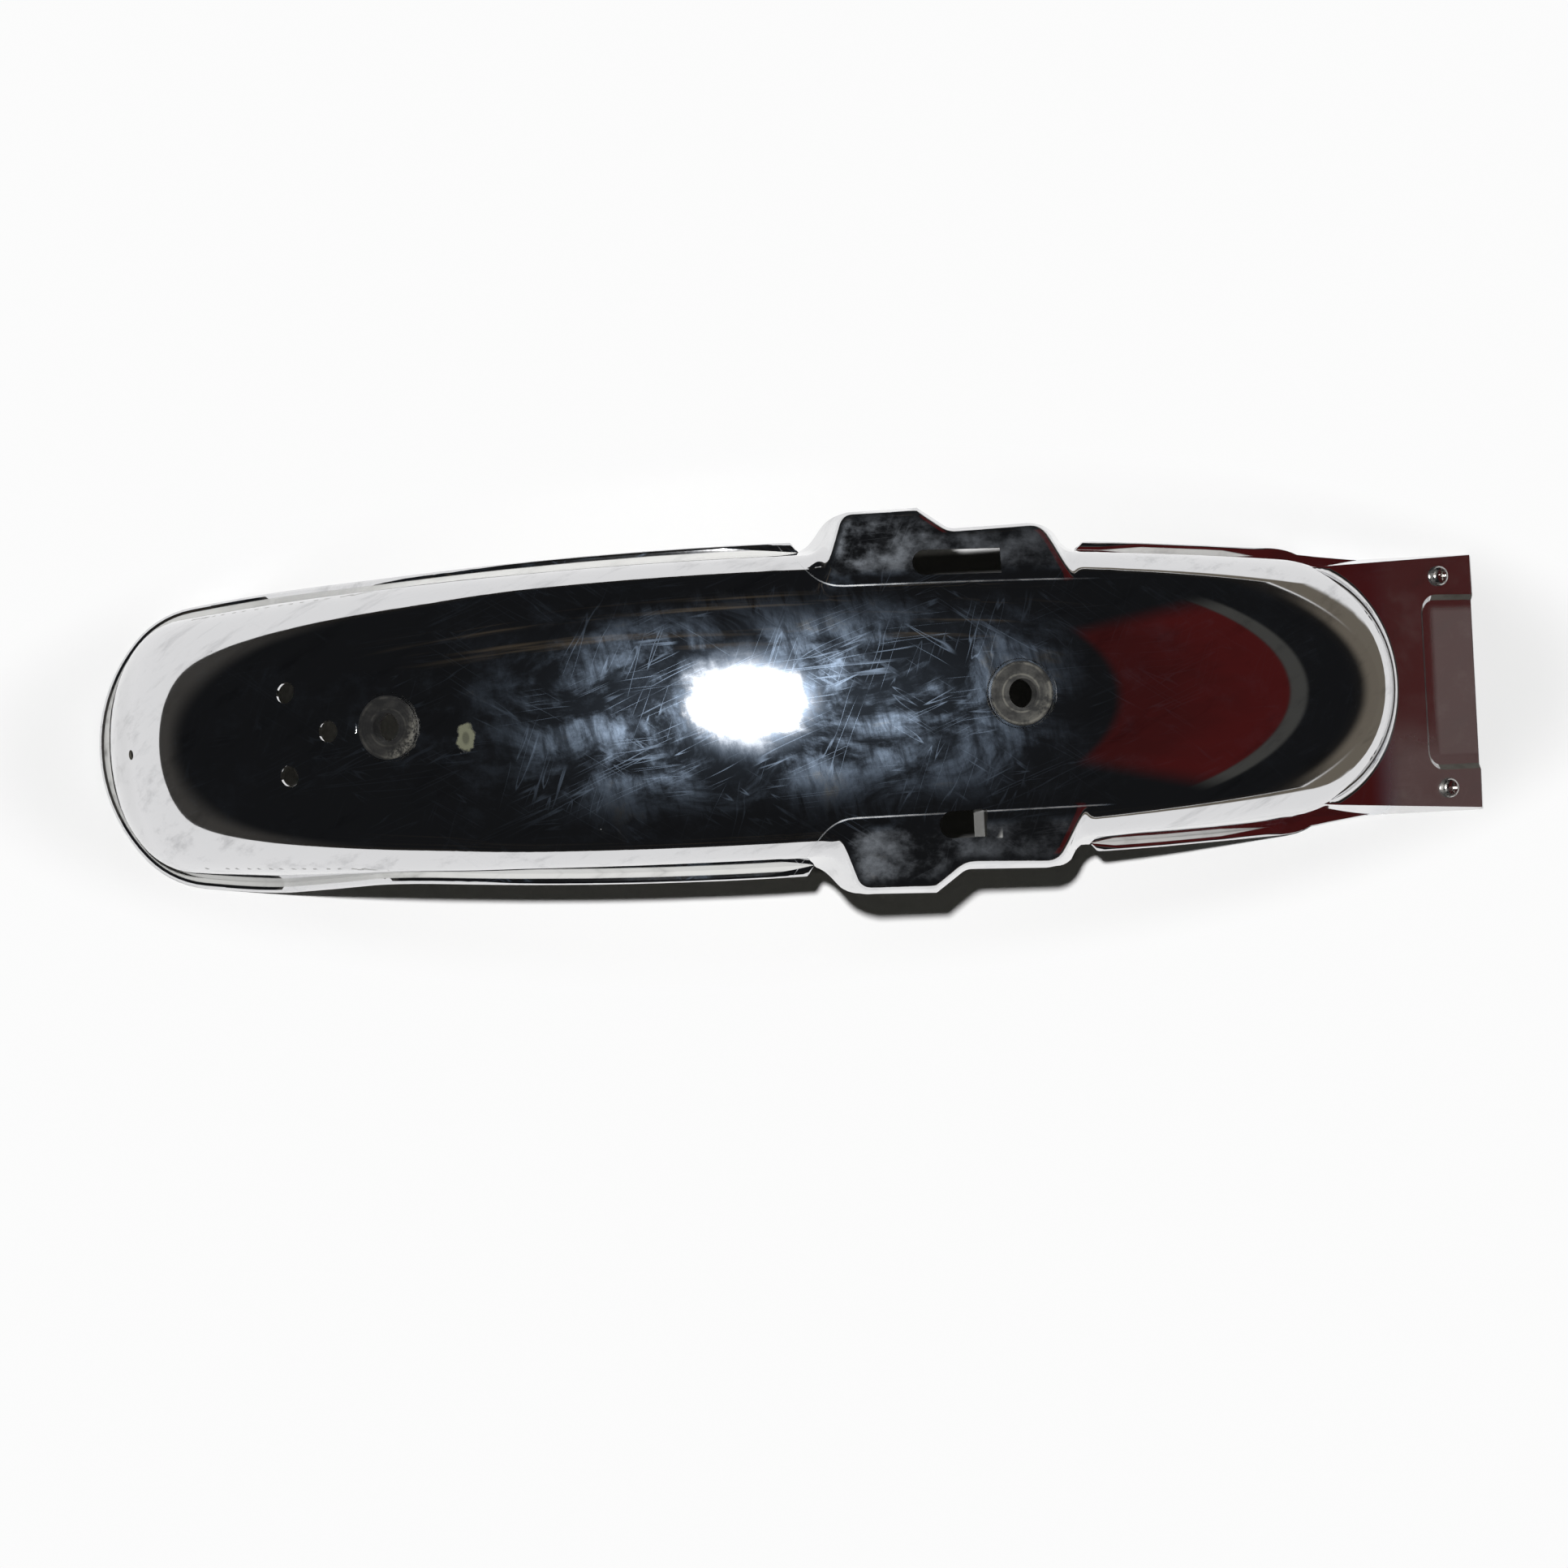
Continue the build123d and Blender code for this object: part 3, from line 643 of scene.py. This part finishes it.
def makeSheet():
    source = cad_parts["fender_shell"].data
    normals = fittedNormals(source)
    form = bmesh.new()
    form.from_mesh(source)
    layer = form.loops.layers.float_vector.new("fitted")
    width = form.loops.layers.float.new("hemWidth")
    corner = 0
    for face in form.faces:
        face.smooth = True
        for loop in face.loops:
            loop[layer] = normals[corner]
            corner += 1
    bmesh.ops.remove_doubles(form, verts=form.verts, dist=sheetSet["merge"])
    # where two curved faces run into each other they share one normal
    limit = math.cos(math.radians(sheetSet["sharp"]))
    for vert in form.verts:
        loops = list(vert.link_loops)
        given = [Vector(loop[layer]) for loop in loops]
        for loop, own in zip(loops, given):
            loop[layer] = sum((other for other in given if own.dot(other) > limit), Vector()).normalized()
    soften(form, layer, onNose, softSet["nose"])
    soften(form, layer, onEar, softSet["ear"])
    levelEar(form, layer)
    shapeHem(form, layer, width)
    # faces turned toward the middle of the wheel space are the underside, apart from the tab and the rim
    startX, endX, spineZ = sheetSet["spine"]
    (tabStart, tabEnd), (tabLow, tabHigh) = sheetSet["tab"]
    for face in form.faces:
        middle = face.calc_center_median() * 1000
        spine = Vector((min(max(middle.x, startX), endX), 0, spineZ))
        inTab = tabStart < middle.x < tabEnd and tabLow < middle.y < tabHigh
        onTab = inTab and face.normal.z > sheetSet["tabFacing"]
        onRim = face.normal.z > sheetSet["rimFacing"] and wallGap(middle / 1000)[0] > sheetSet["rimGap"]
        face.material_index = int(face.normal.dot(middle - spine) < 0 and not onTab and not onRim)
    corners = [Vector(loop[layer]) for face in form.faces for loop in face.loops]
    mesh = bpy.data.meshes.new("fenderSheet")
    form.to_mesh(mesh)
    form.free()
    mesh.attributes.remove(mesh.attributes["fitted"])
    mesh.normals_split_custom_set(corners)
    sheet = bpy.data.objects.new("fenderSheet", mesh)
    scene.collection.objects.link(sheet)
    mesh.materials.append(chromeSheet())
    mesh.materials.append(undersideGrime())
    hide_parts("fender_shell")
    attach(sheet, "root")
    print("sheet made:", len(mesh.polygons), "faces")


makeSheet()

# Rubber bushes: matt gray, dusty, scuffed on the side toward the plate
bushSet = {"front_bush": {"rubber": (0.007, 0.007, 0.0072, 1), "dusty": (0.018, 0.0175, 0.0165, 1),
                          "scuff": 0.75, "rim": 0.12},
           "rear_bush": {"rubber": (0.020, 0.020, 0.0195, 1), "dusty": (0.055, 0.054, 0.050, 1),
                         "scuff": 0.35, "rim": 0.6}}
bushScuff = {"color": (0.15, 0.145, 0.125, 1), "toward": (0.82, -0.57), "radius": 16.0,
             "grain": (0.0012, 0.0012, 0.0012), "patch": (0.008, 0.006, 0.006), "patchShow": (0.36, 0.68),
             "ringStep": 4.2, "ringWander": 2.5, "sideShow": (0.25, 0.85), "outer": (9, 14),
             "wornShow": (0.86, 1.16), "rims": ((15.3, 0.8), (9.6, 0.7)), "rimSharp": 0.2,
             "rimShow": (0.35, 0.6), "relief": (0.09, 0.02), "rough": (0.58, 0.3), "shine": 0.25}


def bushRubber(name):
    coat = bpy.data.materials.new(name + "Rubber")
    kit = Kit(coat)
    look = bushSet[name]
    low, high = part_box(name)
    middle = (low + high) / 2
    x, y = kit.parts(kit.place(middle=middle))[:2]
    grain = kit.noise(kit.place(bushScuff["grain"]), 4.0, 0.6)
    patch = kit.noise(kit.place(bushScuff["patch"]), 5.0, 0.6)
    reach = (x ** 2 + y ** 2) ** 0.5
    wander = reach * bushScuff["ringStep"] + patch * bushScuff["ringWander"]
    rings = kit.node("ShaderNodeMath", {"operation": "SINE"}, {0: wander})
    color = kit.blendColor(kit.spread(patch, *bushScuff["patchShow"]), look["rubber"], look["dusty"])
    towardX, towardY = bushScuff["toward"]
    side = (x * towardX + y * towardY) / bushScuff["radius"]
    worn = kit.spread(side, *bushScuff["sideShow"]) * kit.spread(reach, *bushScuff["outer"])
    worn = worn * kit.spread(grain + patch, *bushScuff["wornShow"])
    color = kit.blendColor(worn * look["scuff"], color, bushScuff["color"])
    outerRim, innerRim = [1 - kit.spread((reach - radius).size(), bushScuff["rimSharp"], wide)
                          for radius, wide in bushScuff["rims"]]
    rim = outerRim.bigger(innerRim) * kit.spread(patch, *bushScuff["rimShow"])
    color = kit.blendColor(rim * look["rim"], color, bushScuff["color"])
    grainHigh, ringHigh = bushScuff["relief"]
    height = grain * grainHigh + rings * ringHigh
    normal = kit.node("ShaderNodeBump", None, {"Strength": 0.8, "Distance": 0.001, "Height": height})
    rough, grainRough = bushScuff["rough"]
    kit.finish(kit.node("ShaderNodeBsdfPrincipled", None,
                        {"Base Color": color, "Roughness": rough + grain * grainRough,
                         "Specular IOR Level": bushScuff["shine"], "Normal": normal}))
    return coat


# Plated screws and nuts: dull, with dark grime and a little white bloom
steelSet = {"plated": (0.50, 0.49, 0.47, 1), "grime": (0.10, 0.085, 0.07, 1), "bloom": (0.62, 0.62, 0.60, 1),
            "patch": (0.0025, 0.0025, 0.0025), "grain": (0.0006, 0.0006, 0.0006), "grimeShow": (0.52, 0.68),
            "bloomShow": (-0.42, -0.32), "relief": 0.03, "rough": 0.2, "roughShow": (0.4, 0.7), "roughMore": 0.35}


def platedSteel():
    coat = bpy.data.materials.new("platedSteel")
    kit = Kit(coat)
    patch = kit.noise(kit.place(steelSet["patch"]), 5.0, 0.62)
    grain = kit.noise(kit.place(steelSet["grain"]), 3.0)
    color = kit.blendColor(kit.spread(patch, *steelSet["grimeShow"]), steelSet["plated"], steelSet["grime"])
    color = kit.blendColor(kit.spread(0 - patch, *steelSet["bloomShow"]), color, steelSet["bloom"])
    normal = kit.node("ShaderNodeBump", None,
                      {"Strength": 0.5, "Distance": 0.001, "Height": grain * steelSet["relief"]})
    rough = steelSet["rough"] + kit.spread(patch, *steelSet["roughShow"]) * steelSet["roughMore"]
    kit.finish(kit.node("ShaderNodeBsdfPrincipled", None,
                        {"Base Color": color, "Metallic": 1.0, "Roughness": rough, "Normal": normal}))
    return coat


def dress(name, coat):
    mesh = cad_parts[name].data
    mesh.materials.clear()
    mesh.materials.append(coat)


steel = platedSteel()
dress("front_bush", bushRubber("front_bush"))
dress("rear_bush", bushRubber("rear_bush"))
dress("plate_screws", steel)
dress("plate_nuts", steel)
print("bushes, screws and nuts dressed")

bpy.context.view_layer.update()
